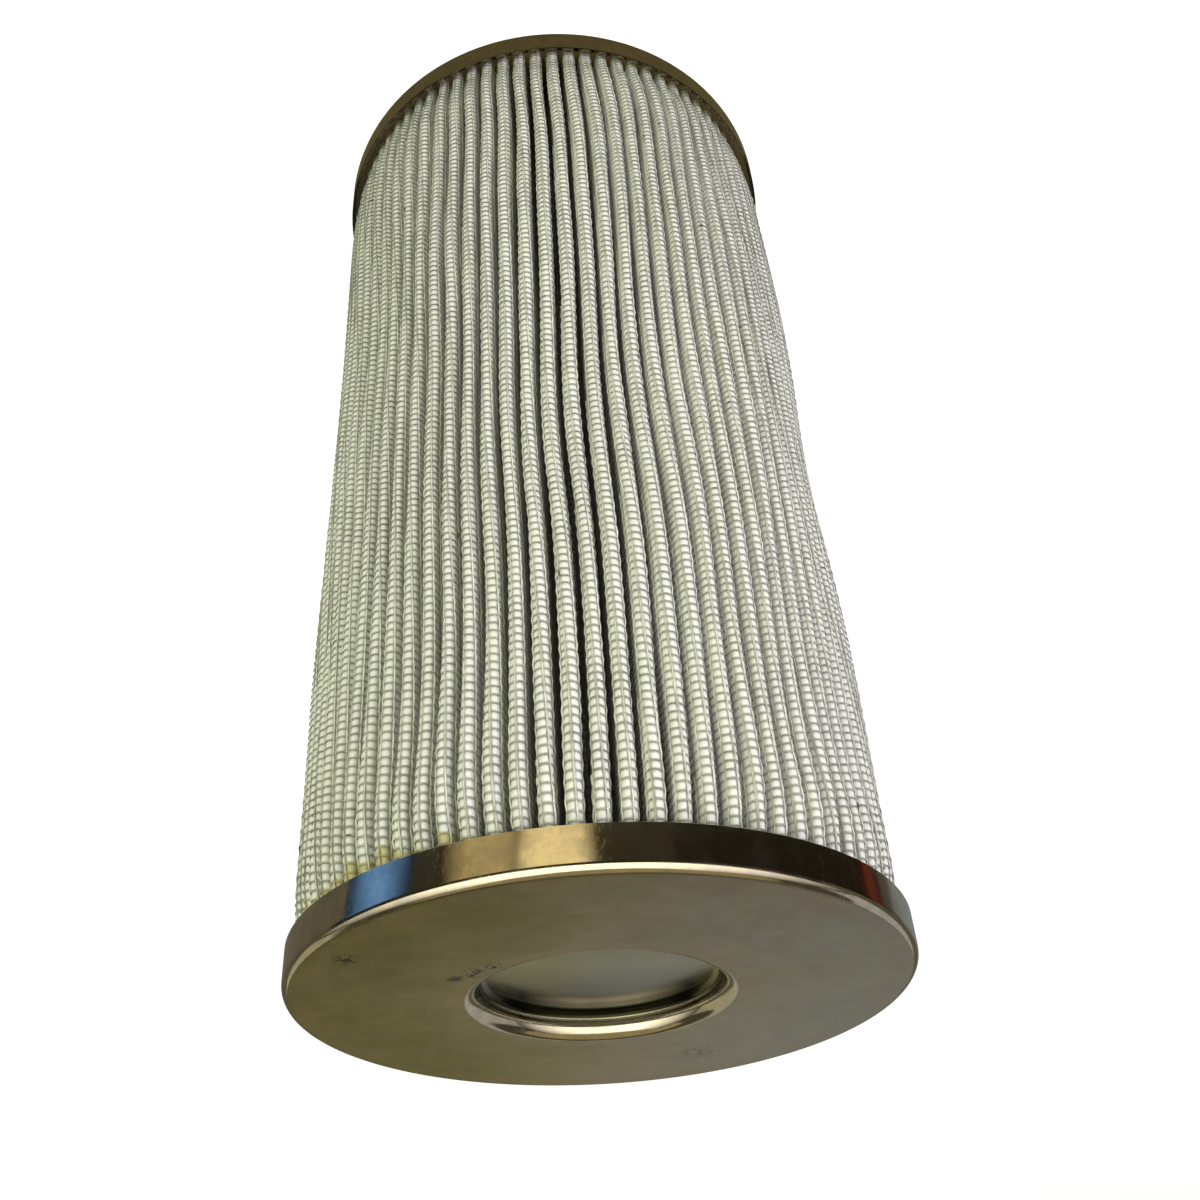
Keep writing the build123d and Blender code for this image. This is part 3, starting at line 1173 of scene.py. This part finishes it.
def glow(name, colour, strength, ends=None, soft=0.0):
    """Plain glowing finish of a reflector card, which may fade towards its ends."""
    material, tree = new_material(name)
    light = node(tree, "ShaderNodeEmission", Color=(*colour, 1.0), Strength=strength)
    if soft:
        place = node(tree, "ShaderNodeTexCoord")
        parts = node(tree, "ShaderNodeSeparateXYZ")
        link(tree, (place.outputs["Object"], parts.inputs[0]))
        front = calc(tree, "MULTIPLY", parts.outputs[1], -1.0)
        angle = calc(tree, "DEGREES", calc(tree, "ARCTAN2", parts.outputs[0], front))
        fade = between(tree, angle, ends[0] + soft, ends[1] - soft, soft)
        link(tree, (calc(tree, "MULTIPLY", fade, strength), light.inputs["Strength"]))
    link(tree, (light.outputs[0], tree.nodes["Material Output"].inputs[0]))
    return material


def floor_material():
    """Pale floor that shows nearly white and still takes a soft shadow."""
    material, tree = new_material("studio_floor")
    paths = node(tree, "ShaderNodeLightPath")
    seen = calc(tree, "MAXIMUM", calc(tree, "MAXIMUM", paths.outputs["Is Camera Ray"],
                paths.outputs["Is Glossy Ray"]), paths.outputs["Is Transmission Ray"])
    paint = node(tree, "ShaderNodeBsdfDiffuse", Color=(0.70, 0.70, 0.70, 1.0))
    lit = node(tree, "ShaderNodeEmission", Color=(1.0, 1.0, 1.0, 1.0))
    both = node(tree, "ShaderNodeAddShader")
    link(tree, (calc(tree, "MULTIPLY", seen, 0.72), lit.inputs["Strength"]),
         (paint.outputs[0], both.inputs[0]), (lit.outputs[0], both.inputs[1]),
         (both.outputs[0], tree.nodes["Material Output"].inputs[0]))
    return material


def light_world(strength):
    """White to the camera and in reflections, and a soft even light otherwise."""
    world = bpy.data.worlds.new("studio_world")
    world.use_nodes = True
    tree = world.node_tree
    tree.nodes.clear()
    paths = node(tree, "ShaderNodeLightPath")
    seen = calc(tree, "MAXIMUM", calc(tree, "MAXIMUM", paths.outputs["Is Camera Ray"],
                paths.outputs["Is Glossy Ray"]), paths.outputs["Is Transmission Ray"])
    level = remap(tree, seen, 0.0, 1.0, strength, 1.0)
    sky = node(tree, "ShaderNodeBackground", Color=(1.0, 1.0, 1.0, 1.0))
    out = node(tree, "ShaderNodeOutputWorld")
    link(tree, (level, sky.inputs["Strength"]), (sky.outputs[0], out.inputs[0]))
    bpy.context.scene.world = world


def soft_light(name, place, side, power, colour):
    """Square softbox aimed at the middle of the element."""
    deselect()
    bpy.ops.object.light_add(type="AREA", location=place)
    lamp = name_active(name)
    lamp.data.size = side
    lamp.data.energy = power
    lamp.data.color = colour
    aim = CAD_BOX[1].z / 2
    towards = (place[0], place[1], place[2] - aim)
    heading = math.atan2(towards[1], towards[0]) + math.pi / 2
    tilt = math.atan2(math.hypot(towards[0], towards[1]), towards[2])
    lamp.rotation_euler = (tilt, 0, heading)
    return lamp


def only_reflected(piece, colour, strength, ends=None, soft=0.0):
    """Gives a card its glow and keeps it out of everything but reflections."""
    piece.data.materials.append(glow(piece.name, colour, strength, ends, soft))
    piece.visible_camera = False
    piece.visible_diffuse = False
    piece.visible_shadow = False
    piece.visible_transmission = False
    deselect()


def ring_card(name, radius, start, end, low, high, colour, strength=1.0, soft=0.0):
    """Upright curved card round the element, its glow faded over soft degrees at its ends.

    Its ends are angles from the front, -Y, towards +X, in degrees.
    """
    first = math.radians(start - 90)
    piece = upright_line(name, radius * math.cos(first), radius * math.sin(first), low, high, 1)
    steps = max(2, round((end - start) / 6))
    bpy.ops.mesh.spin(steps=steps, angle=math.radians(end - start), center=(0, 0, 0),
                      axis=(0, 0, -1))
    bpy.ops.object.mode_set(mode="OBJECT")
    only_reflected(piece, colour, strength, (start, end), soft)


def level_card(name, radius, place, colour, strength=1.0):
    """Level round card above or under the element."""
    deselect()
    bpy.ops.mesh.primitive_circle_add(vertices=48, radius=radius, fill_type="NGON",
                                      location=place)
    only_reflected(name_active(name), colour, strength)


class FILTER_OT_stage(bpy.types.Operator):
    """Sets up the floor, the soft light, the reflector cards and the camera"""

    bl_idname = "filter_element.stage"
    bl_label = "Stage"

    def execute(self, context):
        stage = context.scene.filter_stage
        context.scene.view_settings.view_transform = "Standard"
        deselect()
        bpy.ops.mesh.primitive_plane_add(size=stage.floor_side)
        floor = name_active("studio_floor")
        floor.data.materials.append(floor_material())
        light_world(0.32)
        soft_light("softbox_left", (0.68, -1.06, 0.95), 0.9, 12.5, (0.92, 1.0, 0.66))
        soft_light("softbox_right", (-0.95, -0.75, 0.85), 0.9, 14.5, (0.98, 0.90, 1.04))
        ring = stage.ring_radius
        for name, start, end, colour, soft in (
            ("card_gold_bright", 1, 26, (1.30, 1.06, 0.58), 2.0),
            ("card_gold", 20, 52, (0.62, 0.49, 0.24), 5.0),
            ("card_blue", 63, 91, (0.20, 0.45, 0.98), 6.0),
            ("card_red", -109, -99, (0.30, 0.06, 0.035), 3.0),
        ):
            ring_card(name, ring, start, end, 0.004, 0.20, colour, 1.0, soft)
            ring *= 1.01
        for name, start, end, colour in (
            ("card_dark_left", 1, 92, (0.050, 0.042, 0.025)),
            ("card_brown", 92, 190, (0.16, 0.14, 0.10)),
            ("card_olive", -24, 1, (0.045, 0.038, 0.022)),
            ("card_dark_right", -110, -24, (0.018, 0.014, 0.007)),
            ("card_dull_right", -119, -110, (0.10, 0.09, 0.07)),
            ("card_grey_right", -170, -119, (0.24, 0.25, 0.245)),
        ):
            ring_card(name, ring, start, end, 0.004, 0.20, colour)
        ring_card("card_front", ring, -75, 95, 0.20, 0.35, (0.03, 0.028, 0.02))
        ring_card("card_sides", ring, 95, 285, 0.20, 0.35, (0.13, 0.115, 0.08))
        ring_card("card_window", ring, -90, 110, 0.35, 1.22, (1.0, 0.94, 0.80), 2.5, 35.0)
        ring_card("card_back_low", 1.4, 90, 270, 0.1, 0.42, (0.10, 0.09, 0.06))
        ring_card("card_back_left", 1.4, 90, 180, 0.42, 1.3, (0.50, 0.465, 0.32))
        ring_card("card_back_right", 1.4, 180, 270, 0.42, 1.3, (0.50, 0.49, 0.48))
        level_card("card_ceiling", 0.75, (0, 0, 1.31), (0.42, 0.34, 0.18))
        level_card("card_dome", 2.6, (0, 0, 1.33), (0.08, 0.07, 0.05))
        level_card("card_foot", 0.17, (0, 0, 0.0005), (0.13, 0.105, 0.05))
        bpy.ops.object.camera_add(location=stage.camera_place, rotation=stage.camera_turn)
        camera = name_active("camera")
        camera.data.lens = stage.lens
        camera.data.sensor_width = 36
        camera.data.shift_x = 0.0252
        camera.data.shift_y = -0.0128
        camera.data.clip_start = 0.01
        context.scene.camera = camera
        return {"FINISHED"}


# ---------------------------------------------------------------- panel and registration

class FILTER_PT_element(bpy.types.Panel):
    """Lists the steps that dress the filter element"""

    bl_idname = "FILTER_PT_element"
    bl_label = "Pleated filter element"
    bl_space_type = "VIEW_3D"
    bl_region_type = "UI"
    bl_category = "Filter"

    def draw(self, context):
        for operator in OPERATORS:
            self.layout.operator(operator.bl_idname)


OPERATORS = (
    FILTER_OT_end_caps,
    FILTER_OT_blanking_disc,
    FILTER_OT_folded_media,
    FILTER_OT_cross_wires,
    FILTER_OT_lengthwise_wires,
    FILTER_OT_inner_pieces,
    FILTER_OT_stage,
)
CLASSES = (CapSettings, PackSettings, StageSettings, *OPERATORS, FILTER_PT_element)


def register():
    for cls in CLASSES:
        bpy.utils.register_class(cls)
    bpy.types.Scene.filter_caps = PointerProperty(type=CapSettings)
    bpy.types.Scene.filter_pack = PointerProperty(type=PackSettings)
    bpy.types.Scene.filter_stage = PointerProperty(type=StageSettings)


def unregister():
    del bpy.types.Scene.filter_stage
    del bpy.types.Scene.filter_pack
    del bpy.types.Scene.filter_caps
    for cls in reversed(CLASSES):
        bpy.utils.unregister_class(cls)


def main():
    register()
    make_groups()
    bpy.ops.filter_element.end_caps()
    bpy.ops.filter_element.blanking_disc()
    bpy.ops.filter_element.folded_media()
    bpy.ops.filter_element.cross_wires()
    bpy.ops.filter_element.lengthwise_wires()
    bpy.ops.filter_element.inner_pieces()
    bpy.ops.filter_element.stage()


if __name__ == "__main__":
    main()
